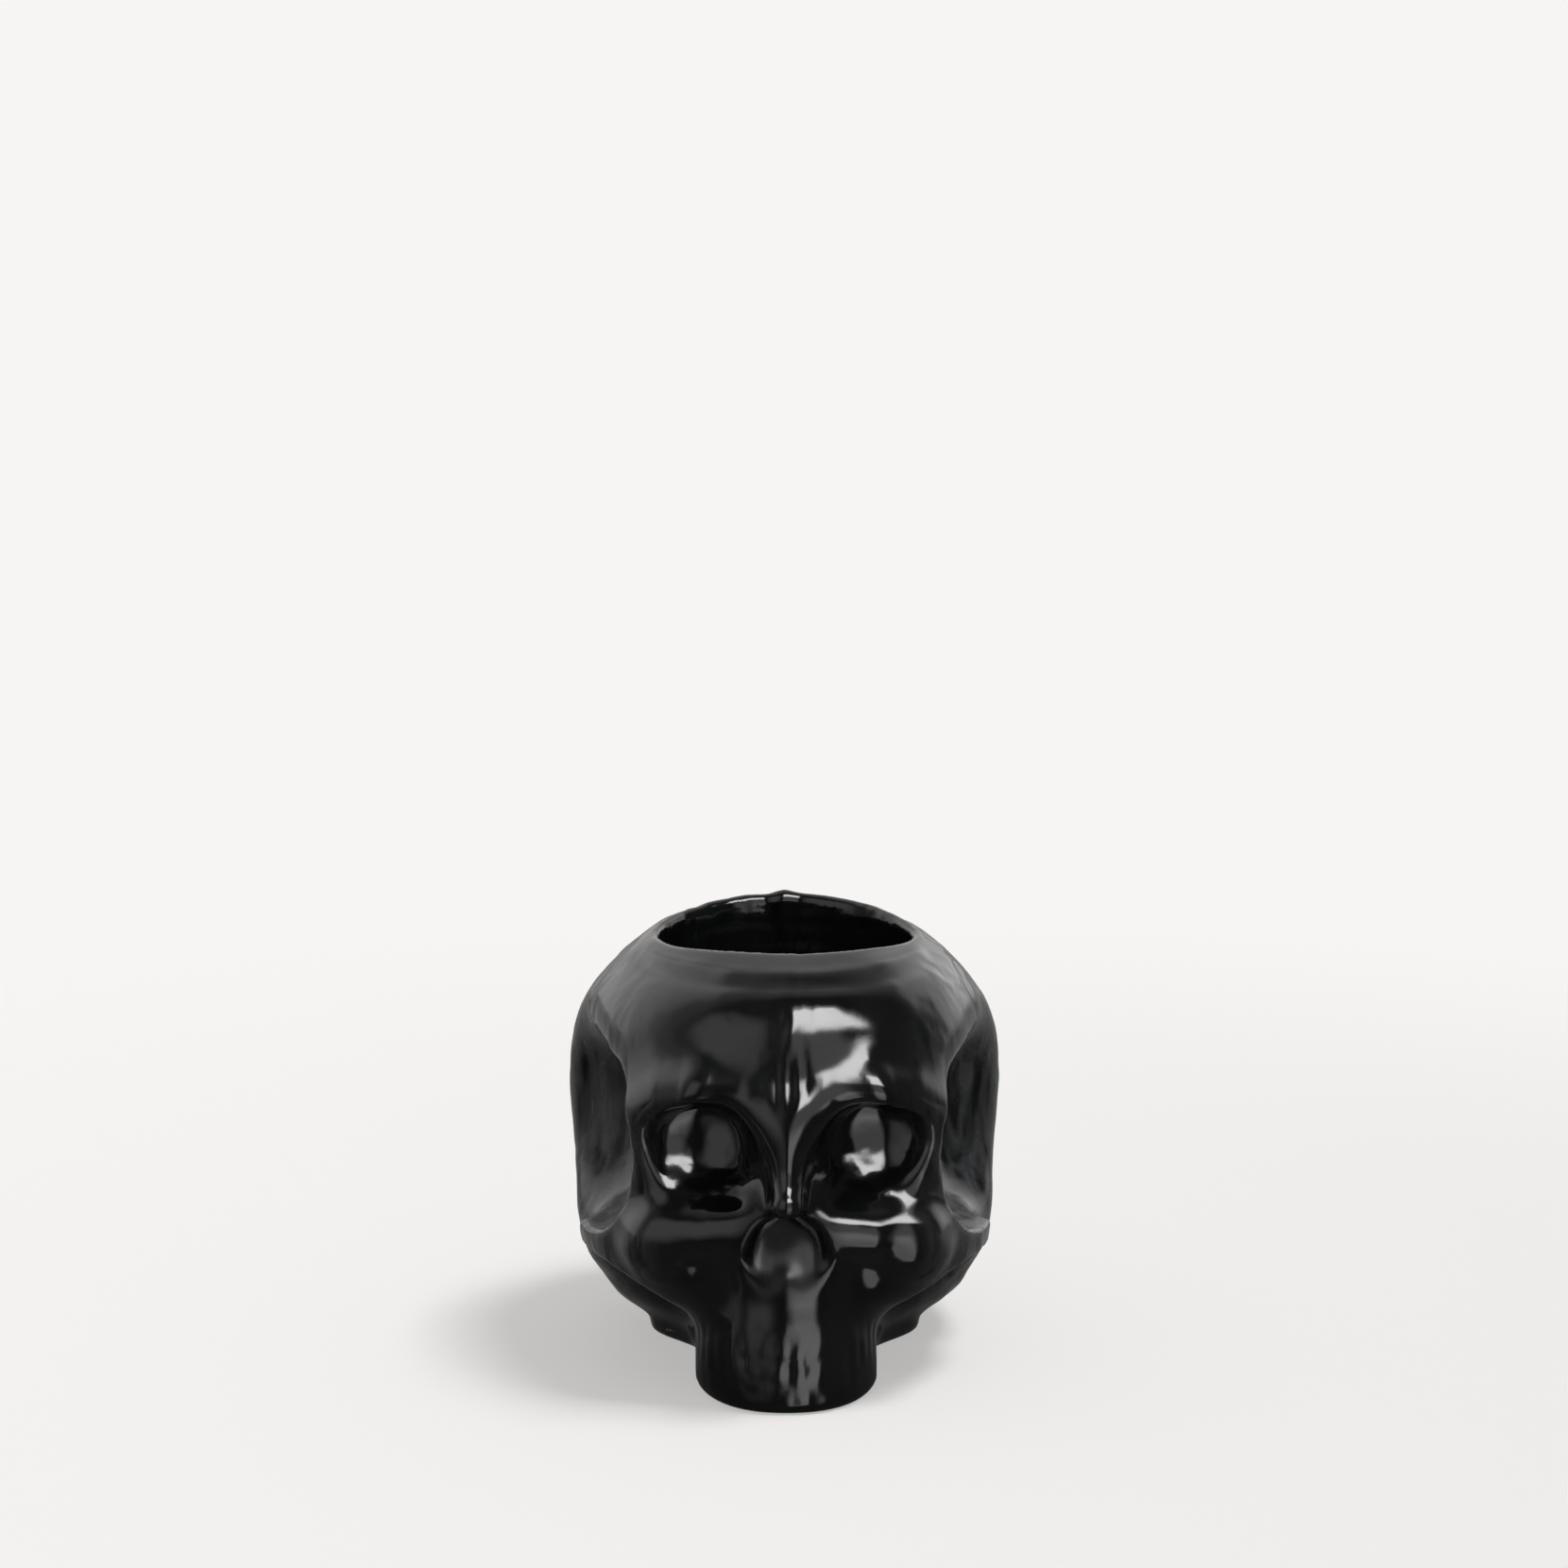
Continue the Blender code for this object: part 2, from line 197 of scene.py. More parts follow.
def tooth_roots(q):
    """Swelling of the jaw over each tooth root, as a length by which the skin stands out."""
    turn = np.arctan2(q[:, 0], JAW_CENTRE[1] - q[:, 1])
    along = turn * 0.5 * (JAW_SIZE[0] + JAW_SIZE[1])
    ridge = np.abs(np.cos(np.pi * (along / TOOTH_PITCH - 0.5))) - 0.55
    band = np.clip(1 - ((q[:, 2] - TOOTH_HEIGHT) / TOOTH_SPREAD) ** 2, 0, 1)
    front = np.clip(4 * (1 - np.abs(turn) / TOOTH_ARC), 0, 1)
    return TOOTH_RELIEF * 2 * ridge * band * front


def braincase(q):
    frontal = dome(q - FRONTAL_CENTRE, FRONTAL_SIZE, FRONTAL_SQUARENESS)
    form = blend(frontal, ball(q - PARIETAL_CENTRE, PARIETAL_SIZE, PARIETAL_SQUARENESS), BRAINCASE_BLEND)
    form = blend(form, ball(q - OCCIPUT_CENTRE, OCCIPUT_SIZE), BRAINCASE_BLEND)
    form = blend(form, ball(q - BASIN_CENTRE, BASIN_SIZE, BASIN_SQUARENESS), BRAINCASE_BLEND)
    form = blend(form, ball(q - MASTOID_CENTRE, MASTOID_SIZE), FACE_BLEND)
    return blend(form, ball(q - PAD_CENTRE, PAD_SIZE, PAD_SQUARENESS), FACE_BLEND)


def jaw(q):
    """Upper jaw: an arched post rounded in under the cheeks, with the tooth roots standing out of it."""
    return ball(q - JAW_CENTRE, JAW_SIZE * (1, 1, 2), JAW_SQUARENESS) - tooth_roots(q)


def face(q):
    form = blend(jaw(q), ball(q - MIDFACE_CENTRE, MIDFACE_SIZE), FACE_BLEND)
    form = blend(form, ball(q - MASK_CENTRE, MASK_SIZE, MASK_SQUARENESS), FACE_BLEND)
    form = blend(form, ball(q - MALAR_CENTRE, MALAR_SIZE), FACE_BLEND)
    form = blend(form, ball(q - ORBITAL_CENTRE, ORBITAL_SIZE, ORBITAL_SQUARENESS), FACE_BLEND)
    form = blend(form, strut(q, BROW_LINE, BROW_THICKNESS), SOFT_BLEND)
    return blend(form, strut(q, NOSE_LINE, NOSE_THICKNESS), FACE_BLEND)


def facing(turn, tilt):
    """Direction that looks out of the face, turned to the side and tilted up."""
    return np.array((math.sin(turn) * math.cos(tilt), -math.cos(turn) * math.cos(tilt), math.sin(tilt)))


def socket(q):
    """Hollow of an eye: an egg-shaped cup whose dished floor leans back under the brow."""
    cup = ball(turned(q - SOCKET_CENTRE, (2, 0), SOCKET_DROOP), SOCKET_SIZE, SOCKET_SQUARENESS)
    middle = DISH_FLOOR + DISH_RADIUS * facing(DISH_TURN, DISH_TILT)
    dish = np.linalg.norm(q - middle, axis=1) - DISH_RADIUS
    return carve(cup, -dish, DISH_CORNER)


def socket_edge(q):
    """Rounding of the socket's edge, wide towards the nose and the cheek and narrow at the temple."""
    inner = np.clip((20 * MM - q[:, 0]) / (11 * MM), 0, 1)
    low = np.clip((45 * MM - q[:, 2]) / (16 * MM), 0, 1)
    return SOCKET_EDGE + SOCKET_FALL * np.maximum(inner, low)


def nose_opening(q):
    """Opening of the nose, with two lobes and a floor that runs out on the jaw."""
    hole = ball(q - NOSE_HOLE_CENTRE, NOSE_HOLE_SIZE)
    lobes = blend(hole, ball(q - NOSTRIL_CENTRE, NOSTRIL_SIZE), NOSTRIL_BLEND)
    floor = (NOSE_FLOOR - q) @ facing(0, NOSE_FLOOR_TILT)
    return carve(lobes, -floor, NOSE_CORNER)


def outer_form(p):
    """Signed distance to the outside of the skull, before the well is let in."""
    q = p.copy()
    q[:, 0] = np.hypot(p[:, 0], MIDLINE_ROUNDING)
    edge = fading_edge(q)
    form = blend(braincase(q), face(q), SOFT_BLEND)
    temple = ball(turned(q - TEMPLE_CENTRE, (0, 2), TEMPLE_LEAN), TEMPLE_SIZE, TEMPLE_SQUARENESS)
    form = carve(form, temple, edge)
    form = carve(form, ball(q - SCOOP_CENTRE, SCOOP_SIZE), edge)
    form = carve(form, ball(q - THROAT_CENTRE, THROAT_SIZE, THROAT_SQUARENESS), edge)
    form = carve(form, ball(q - CANINE_CENTRE, CANINE_SIZE), FACE_BLEND)
    form = carve(form, socket(q), socket_edge(q))
    form = blend(form, strut(q, RIM_LINE, RIM_THICKNESS), FACE_BLEND)
    form = carve(form, nose_opening(q), NOSE_EDGE)
    return carve(form, q[:, 2], FOOT_EDGE)


def well_form(p):
    """Signed distance to the candle well, negative in the empty space."""
    rise = (p[:, 2] - FLOOR_HEIGHT) / (MOUTH_HEIGHT - FLOOR_HEIGHT)
    wall = np.hypot(p[:, 0], p[:, 1]) - (FLOOR_RADIUS + (MOUTH_RADIUS - FLOOR_RADIUS) * rise)
    return carve(wall, p[:, 2] - FLOOR_HEIGHT, FLOOR_CORNER)


def whole_form(p):
    return carve(outer_form(p), well_form(p), LIP_ROUNDING)


def glass_corners():
    """Which corners of a grid round the skull lie in the glass, and the grid's lowest corner."""
    low = GRID_LOW - 0.5 * CELL
    spans = GRID_HIGH - GRID_LOW
    x, y, z = (start + CELL * np.arange(int(span / CELL) + 2) for start, span in zip(low, spans))
    plan = np.stack(np.meshgrid(x, y, indexing="ij"), -1).reshape(-1, 2)
    layers = [whole_form(np.column_stack([plan, np.full(len(plan), height)])) < 0 for height in z]
    return np.stack(layers, 1).reshape(len(x), len(y), len(z)), low


def crossed_cells(inside):
    """Numbers the cells that the skin passes through, those with corners both in and out of the glass."""
    count = sum(
        inside[i : i - 1 or None, j : j - 1 or None, k : k - 1 or None].astype(int)
        for i in (0, 1)
        for j in (0, 1)
        for k in (0, 1)
    )
    number = np.full(count.shape, -1)
    crossed = (count > 0) & (count < 8)
    number[crossed] = np.arange(crossed.sum())
    return number, np.argwhere(crossed)


def skin_faces(inside, number):
    """A four-sided face for each edge of the grid that leaves the glass, through the cells round it."""
    faces = []
    for axis in range(3):
        corner, cell = np.moveaxis(inside, axis, 0), np.moveaxis(number, axis, 0)
        start, end = corner[:-1, 1:-1, 1:-1], corner[1:, 1:-1, 1:-1]
        i, j, k = np.argwhere(start != end).T
        face = np.stack([cell[i, j, k], cell[i, j + 1, k], cell[i, j + 1, k + 1], cell[i, j, k + 1]], 1)
        turn = start[i, j, k] == (axis == 1)
        face[turn] = face[turn, ::-1]
        faces.append(face)
    return np.concatenate(faces)


def neighbours_mean(points, faces):
    """The middle of each point's neighbours along the faces' sides."""
    total, count = np.zeros_like(points), np.zeros(len(points))
    for side in range(4):
        a, b = faces[:, side], faces[:, (side + 1) % 4]
        count += np.bincount(a, minlength=len(points))
        for axis in range(3):
            total[:, axis] += np.bincount(a, points[b, axis], len(points))
    return total / count[:, None]


def onto_skin(points):
    """Points brought onto the form along its slope."""
    value = whole_form(points)
    ahead = [whole_form(points + SLOPE_REACH * axis) for axis in np.eye(3)]
    slope = np.stack([(there - value) / SLOPE_REACH for there in ahead], 1)
    steep = np.maximum((slope**2).sum(1), 0.2)
    step = np.clip(value / steep, -0.5 * CELL, 0.5 * CELL)
    return points - step[:, None] * slope


def skin_mesh():
    """The whole skin as points and four-sided faces."""
    inside, low = glass_corners()
    number, cells = crossed_cells(inside)
    faces = skin_faces(inside, number)
    points = low + CELL * (cells + 0.5)
    for _ in range(EVENING_PASSES):
        points = onto_skin(0.5 * (points + neighbours_mean(points, faces)))
    for _ in range(2):
        points = onto_skin(points)
    return points, faces


# Camera, at the photograph's viewing angle
CAMERA_PLACE = (-0.0072, -0.8328, 0.2548)
CAMERA_TURN = math.radians(0.481)
CAMERA_DIP = math.radians(9.776)
CAMERA_LENS = 100
CAMERA_SENSOR = 36

# Pale paper of the floor: colour, half width, and the line in front of which the glass mirrors none of it
PALE = (0.930, 0.914, 0.905, 1)
TABLE_SPAN = 6.0
DARK_FRONT = -0.053

# Brightness of the paper in the glass, beside the face and behind the skull, and where each begins
MIRRORED_NEAR, MIRRORED_FAR = 0.05, 0.35
MIRROR_FRONT, MIRROR_BACK = -30 * MM, 60 * MM

# The paper runs from this share of the background's plain colour by the skull to all of it further off
PLAIN_SHARE = 0.45
PLAIN_START, PLAIN_END = 0.16, 0.45

# Brightness of the room as the glass mirrors it, from the camera's side round to the back, and as it lights
ROOM_TOWARDS = (-0.15, 0.48, 0.05)
ROOM_LEVELS = ((0.0, 0.04), (0.47, 0.06), (0.62, 0.4), (0.8, 0.8), (1.0, 0.8))
ROOM_GLOW = 0.4

# Panels that the glass mirrors: name, heading, azimuths, elevations, distance, brightness, soft share
LAMP_LEVEL = 0.045
MIRRORED_PANELS = (
    ("key_core", 23, (1, 60), (37, 64), 0.90, 10.0, 0.35),
    ("key_bright", 23, (0, 66), (35, 68), 0.95, 2.0, 0.5),
    ("key_soft", 23, (0, 46), (-40, 70), 1.0, 0.9, 0.5),
    ("key_low", 23, (0, 40), (-60, 14), 1.05, 1.3, 0.4),
    ("left_panel", -38, (-76, -4), (-26, 58), 1.1, 0.7, 0.7),
    ("right_panel", 140, (108, 168), (-10, 50), 1.0, 0.6, 0.5),
    ("back_left_panel", -122, (-160, -84), (-15, 68), 1.0, 0.4, 0.6),
)

# Panel that lights the floor and throws the shadow to the left, unseen by the glass
SHADE_PANEL = ("shade_lamp", 86, (60, 112), (60, 78), 0.9, 24.0, 0.2)

# Glass: deep and clouded tint, and roughness where clear and where clouded
GLASS_INDEX = 1.54
DEEP_TINT = (0.0035, 0.0038, 0.0042, 1)
CLOUDED_TINT = (0.0075, 0.0082, 0.0085, 1)
POLISH, CLOUDED_POLISH = 0.05, 0.13
PEEL_DEPTH = 0.05 * MM

# Misty skin, which also takes the painted sheen: where it starts and is full outwards, backwards and from
# the well, and its share at the back
MIST_OUT = (20 * MM, 36 * MM)
MIST_BACK = (-30 * MM, 15 * MM)
MIST_BACK_SHARE = 0.6
MIST_WELL = (25.5 * MM, 27.5 * MM)
# Lighter colour laid on the misty skin: a painted sheen that stands in for the grey glow the sides mirror
PAINTED_SHEEN_TINT = (0.036, 0.038, 0.040, 1)
MIST_ROUGHNESS = 0.28
STREAK_LEAN = (math.radians(14), math.radians(8), 0)
STREAK_SCALE = (330, 330, 45)

# Dull glass in the hollow of the nose, whose mirror is turned down there as painted shade: middle, where it
# starts and is full, roughness, mirror outside and in
DULL_AND_SHADE_MIDDLE = (0, -0.050, 0.032)
DULL_AND_SHADE_REACH = (12 * MM, 7 * MM)
DULL_ROUGHNESS = 0.3
FULL_MIRROR, PAINTED_SHADE_MIRROR = 0.5, 0.2

# Depth of the relief of pressed glass
FLOW_DEPTH = 0.3 * MM
SWELL_DEPTH = 0.2 * MM
SEAM_DEPTH = 0.12 * MM
WRINKLE_DEPTH = 0.06 * MM
SOCKET_DEPTH = 0.22 * MM
TOOTH_DEPTH = 0.16 * MM
CHEEK_DEPTH = 0.3 * MM
RING_DEPTH = 0.03 * MM
COLLAR_DEPTH = 0.3 * MM

# The relief fades out between these heights, so the foot stays flat
FLAT_HEIGHT, RELIEF_HEIGHT = 0.3 * MM, 2.5 * MM

# Wrinkles: centre, half sizes, full part and strength of each patch
WRINKLE_PATCHES = ((mm(-2, -47, 64), mm(7, 12, 8), 0.4, 1.0), (mm(-11, -42, 72), mm(6, 9, 4), 0.3, 0.7))

# Rolled lip: height and half width of the roll and of the groove below it, and depth of the groove
ROLL_HEIGHT, ROLL_WIDTH = 80.9 * MM, 0.7 * MM
GROOVE_HEIGHT, GROOVE_WIDTH = 79 * MM, 0.9 * MM
GROOVE_SHARE = 0.8

# Rings in the well: height in which their wave turns by one radian
RING_RADIAN = 0.55 * MM

# Nub left on the back of the lip
NUB_PLACE, NUB_SIZE, NUB_HEIGHT = mm(0.3, 25.5, 84), mm(2.2, 2.2, 3), 0.8 * MM

# Rounded drop on the tip of the nasal bones
NOSE_TIP_PLACE, NOSE_TIP_SIZE, NOSE_TIP_HEIGHT = mm(-0.3, -53, 41), mm(2.8, 4, 2.2), 0.5 * MM


def noise_at(points, scale, offset=0.0):
    """Smooth noise between -1 and 1 at each point, with a grain of the given size along each axis."""
    grain = points / scale + offset
    return np.array([noise.noise(Vector(g)) for g in grain])


def smooth_step(low, high, value):
    share = np.clip((value - low) / (high - low), 0, 1)
    return share * share * (3 - 2 * share)


def corner_normals(points, faces):
    """Outward direction of the skin at each point."""
    a, b, c, d = (points[faces[:, i]] for i in range(4))
    face_normal = np.cross(c - a, d - b)
    normal = np.zeros_like(points)
    for side in range(4):
        for axis in range(3):
            normal[:, axis] += np.bincount(faces[:, side], face_normal[:, axis], len(points))
    return normal / np.linalg.norm(normal, axis=1)[:, None]


def flow_marks(p, normal):
    """Chill waves that run down the sides and back of the skull."""
    side = smooth_step(0.35, 0.8, np.abs(normal[:, 0]) + smooth_step(0, 30 * MM, p[:, 1]))
    side *= smooth_step(-36 * MM, -22 * MM, p[:, 1])
    bent = p.copy()
    bent[:, 1] += 0.35 * p[:, 2] + 6 * MM * noise_at(p, mm(13, 13, 13), 7.0)
    bent[:, 0] += 4 * MM * noise_at(p, mm(11, 11, 11), 8.0)
    wave = noise_at(bent, mm(4.6, 4.6, 19)) + 0.4 * noise_at(bent, mm(1.9, 1.9, 11), 3.0)
    side *= smooth_step(-0.5, 0.1, noise_at(p, mm(16, 16, 22), 1.0))
    return FLOW_DEPTH * side * wave


def swell(p):
    """Slow unevenness of the whole skin."""
    broad = noise_at(p, mm(13, 13, 13), 11.0)
    middling = noise_at(p, mm(6, 6, 6), 5.0)
    fine = noise_at(p, mm(2.6, 2.6, 2.6), 16.0)
    return SWELL_DEPTH * (broad + 0.4 * middling + 0.1 * fine)


def seam(p):
    """Fine folds down the middle of the forehead."""
    band = smooth_step(6 * MM, 0.5 * MM, np.abs(p[:, 0] - 1.0 * MM))
    band *= smooth_step(54 * MM, 60 * MM, p[:, 2]) * smooth_step(-20 * MM, -28 * MM, p[:, 1])
    return SEAM_DEPTH * band * noise_at(p, mm(1.4, 30, 9), 2.0) * 2


def wrinkles(p):
    """Small chilled wrinkles between the brows."""
    near = np.zeros(len(p))
    for centre, size, full, strength in WRINKLE_PATCHES:
        patch = smooth_step(1, full, np.linalg.norm((p - centre) / size, axis=1))
        near = np.maximum(near, strength * patch)
    coarse = noise_at(p, mm(1.6, 3, 1.3), 4.0)
    fine = noise_at(p, mm(0.9, 2, 0.8), 6.0)
    return WRINKLE_DEPTH * near * (coarse + 0.6 * fine)


def round_patches(p, out, height, radius, full):
    """Share of a round patch to each side of the middle, as seen from the front."""
    across = (np.abs(p[:, 0]) - out) / radius
    rise = (p[:, 2] - height) / radius
    return smooth_step(1, full, np.hypot(across, rise))


def socket_dents(p):
    """Dents in the bowls of the eye sockets."""
    near = round_patches(p, 17 * MM, 46 * MM, 11 * MM, 0.6) * smooth_step(-22 * MM, -28 * MM, p[:, 1])
    coarse = noise_at(p, mm(4.2, 4.2, 4.2), 17.0)
    fine = noise_at(p, mm(1.8, 1.8, 1.8), 18.0)
    return SOCKET_DEPTH * near * (coarse + 0.3 * fine)


def tooth_marks(p):
    """Uneven dents and lumps along the teeth."""
    near = smooth_step(19 * MM, 12 * MM, p[:, 2]) * smooth_step(-34 * MM, -42 * MM, p[:, 1])
    coarse = noise_at(p, mm(1.9, 4, 5), 12.0)
    fine = noise_at(p, mm(1.2, 3, 1.6), 13.0)
    return TOOTH_DEPTH * near * (coarse + 0.7 * fine)


def cheek_lumps(p):
    """Lumps and creases where the cheek bone meets the upper jaw."""
    near = round_patches(p, 22 * MM, 29 * MM, 9 * MM, 0.3) * smooth_step(-28 * MM, -34 * MM, p[:, 1])
    return CHEEK_DEPTH * near * noise_at(p, mm(3.6, 6, 3.2), 14.0)


def collar(p):
    """The rolled edge of the lip round the front."""
    front = smooth_step(-6 * MM, -16 * MM, p[:, 1])
    outside = smooth_step(23.5 * MM, 24.5 * MM, np.hypot(p[:, 0], p[:, 1]))
    roll = np.exp(-(((p[:, 2] - ROLL_HEIGHT) / ROLL_WIDTH) ** 2))
    groove = np.exp(-(((p[:, 2] - GROOVE_HEIGHT) / GROOVE_WIDTH) ** 2))
    uneven = 1 + 0.5 * noise_at(p, mm(7, 7, 7), 15.0)
    return COLLAR_DEPTH * front * outside * (roll - GROOVE_SHARE * groove) * uneven


def drops(p):
    """The nub at the back of the lip and the drop on the tip of the nasal bones."""
    nub = np.exp(-(((p - NUB_PLACE) / NUB_SIZE) ** 2).sum(1))
    tip = np.exp(-(((p - NOSE_TIP_PLACE) / NOSE_TIP_SIZE) ** 2).sum(1))
    return NUB_HEIGHT * nub + NOSE_TIP_HEIGHT * tip


def rings(p):
    """Rings that the plunger left in the wall of the well, near its mouth."""
    inside = smooth_step(26 * MM, 25 * MM, np.hypot(p[:, 0], p[:, 1]))
    inside *= smooth_step(62 * MM, 70 * MM, p[:, 2])
    return RING_DEPTH * inside * np.sin(p[:, 2] / RING_RADIAN + 2 * noise_at(p, mm(14, 14, 6), 9.0))


def pressed_skull():
    """The glass skull as one mesh, with the relief laid on its skin."""
    points, faces = skin_mesh()
    normal = corner_normals(points, faces)
    rise = flow_marks(points, normal) + swell(points) + seam(points) + wrinkles(points) + rings(points)
    rise += socket_dents(points) + tooth_marks(points) + cheek_lumps(points) + collar(points) + drops(points)
    rise *= smooth_step(FLAT_HEIGHT, RELIEF_HEIGHT, points[:, 2])
    points = points + rise[:, None] * normal
    mesh = bpy.data.meshes.new("pressed_skull")
    mesh.from_pydata(points.tolist(), [], faces.tolist())
    mesh.shade_smooth()
    skull = bpy.data.objects.new("pressed_skull", mesh)
    bpy.context.scene.collection.objects.link(skull)
    return skull


def feed(links, socket, value):
    """Links a node's output to a socket, or sets the socket to a plain value."""
    if isinstance(value, bpy.types.NodeSocket):
        links.new(value, socket)
    else:
        socket.default_value = value


def combined(nodes, links, operation, first, second):
    """Two values put together by an operation."""
    node = nodes.new("ShaderNodeMath")
    node.operation = operation
    feed(links, node.inputs[0], first)
    feed(links, node.inputs[1], second)
    return node.outputs[0]


def measured(nodes, links, operation, vector, other=(0, 0, 0)):
    """Node of a vector operation, on one vector and another."""
    node = nodes.new("ShaderNodeVectorMath")
    node.operation = operation
    feed(links, node.inputs[0], vector)
    feed(links, node.inputs[1], other)
    return node


def ranged(nodes, links, value, reach, start=0.0, end=1.0, kind="SMOOTHSTEP"):
    """A value that runs from start to end as the given one runs over its reach."""
    node = nodes.new("ShaderNodeMapRange")
    node.interpolation_type = kind
    feed(links, node.inputs["Value"], value)
    feed(links, node.inputs["From Min"], reach[0])
    feed(links, node.inputs["From Max"], reach[1])
    feed(links, node.inputs["To Min"], start)
    feed(links, node.inputs["To Max"], end)
    return node.outputs["Result"]


def fine_noise(nodes, links, vector, scale, detail, distortion=0.0):
    """A noise texture's value."""
    node = nodes.new("ShaderNodeTexNoise")
    node.inputs["Scale"].default_value = scale
    node.inputs["Detail"].default_value = detail
    node.inputs["Distortion"].default_value = distortion
    links.new(vector, node.inputs["Vector"])
    return node.outputs["Fac"]


def coordinates(nodes, links, vector):
    """The three coordinates of a vector, as a node's outputs."""
    node = nodes.new("ShaderNodeSeparateXYZ")
    links.new(vector, node.inputs[0])
    return node.outputs


def side_mist_and_sheen(nodes, links, place):
    """Share of the misty, streaked skin of the sides and back, where no flame polished it, which also lays
    the painted sheen on them.
    """
    spot = coordinates(nodes, links, place)
    outward = combined(nodes, links, "ABSOLUTE", spot["X"], 0.0)
    side = ranged(nodes, links, outward, MIST_OUT)
    back = ranged(nodes, links, spot["Y"], MIST_BACK, end=MIST_BACK_SHARE)
    either = combined(nodes, links, "MAXIMUM", side, back)
    drawn = nodes.new("ShaderNodeMapping")
    drawn.inputs["Rotation"].default_value = STREAK_LEAN
    drawn.inputs["Scale"].default_value = STREAK_SCALE
    links.new(place, drawn.inputs["Vector"])
    streak = fine_noise(nodes, links, drawn.outputs["Vector"], 1, 3, 0.8)
    worn = ranged(nodes, links, streak, (0.34, 0.62), kind="LINEAR")
    mist_and_sheen = combined(nodes, links, "MULTIPLY", either, worn)
    level = measured(nodes, links, "MULTIPLY", place, (1, 1, 0)).outputs["Vector"]
    radius = measured(nodes, links, "LENGTH", level).outputs["Value"]
    outside = ranged(nodes, links, radius, MIST_WELL, kind="LINEAR")
    return combined(nodes, links, "MULTIPLY", mist_and_sheen, outside)


def black_glass():
    """Opaque black glass, polished by the flame, with faint clouding, a fine orange-peel skin, a painted
    sheen on the misty sides and painted shade in the hollow of the nose.
    """
    material = bpy.data.materials.new("black_glass_polished")
    material.use_nodes = True
    nodes, links = material.node_tree.nodes, material.node_tree.links
    surface = nodes["Principled BSDF"]
    surface.inputs["IOR"].default_value = GLASS_INDEX
    place = nodes.new("ShaderNodeTexCoord").outputs["Object"]
    mist_and_sheen = side_mist_and_sheen(nodes, links, place)
    cloud = fine_noise(nodes, links, place, 60, 4)

    tint = nodes.new("ShaderNodeValToRGB")
    for element, position, colour in zip(tint.color_ramp.elements, (0.35, 0.7), (DEEP_TINT, CLOUDED_TINT)):
        element.position = position
        element.color = colour
    links.new(cloud, tint.inputs["Fac"])
    # Base colour: the clouded tint, with the painted sheen mixed in over the misty skin
    tint_with_painted_sheen = nodes.new("ShaderNodeMix")
    tint_with_painted_sheen.data_type = "RGBA"
    tint_with_painted_sheen.inputs["B"].default_value = PAINTED_SHEEN_TINT
    links.new(mist_and_sheen, tint_with_painted_sheen.inputs["Factor"])
    links.new(tint.outputs["Color"], tint_with_painted_sheen.inputs["A"])
    links.new(tint_with_painted_sheen.outputs["Result"], surface.inputs["Base Color"])

    misted = nodes.new("ShaderNodeMix")
    misted.inputs["B"].default_value = MIST_ROUGHNESS
    links.new(mist_and_sheen, misted.inputs["Factor"])
    links.new(ranged(nodes, links, cloud, (0.3, 0.75), POLISH, CLOUDED_POLISH, "LINEAR"), misted.inputs["A"])
    from_nose = measured(nodes, links, "DISTANCE", place, DULL_AND_SHADE_MIDDLE).outputs["Value"]
    dull = ranged(nodes, links, from_nose, DULL_AND_SHADE_REACH, end=DULL_ROUGHNESS)
    roughest = combined(nodes, links, "MAXIMUM", misted.outputs["Result"], dull)
    links.new(roughest, surface.inputs["Roughness"])
    # Painted shade: the glass mirrors less in the hollow of the nose, so the hollow reads darker
    mirror_with_painted_shade = ranged(nodes, links, from_nose, DULL_AND_SHADE_REACH, FULL_MIRROR, PAINTED_SHADE_MIRROR)
    links.new(mirror_with_painted_shade, surface.inputs["Specular IOR Level"])

    bump = nodes.new("ShaderNodeBump")
    bump.inputs["Strength"].default_value = 0.15
    bump.inputs["Distance"].default_value = PEEL_DEPTH
    links.new(fine_noise(nodes, links, place, 700, 3), bump.inputs["Height"])
    links.new(bump.outputs["Normal"], surface.inputs["Normal"])
    return material


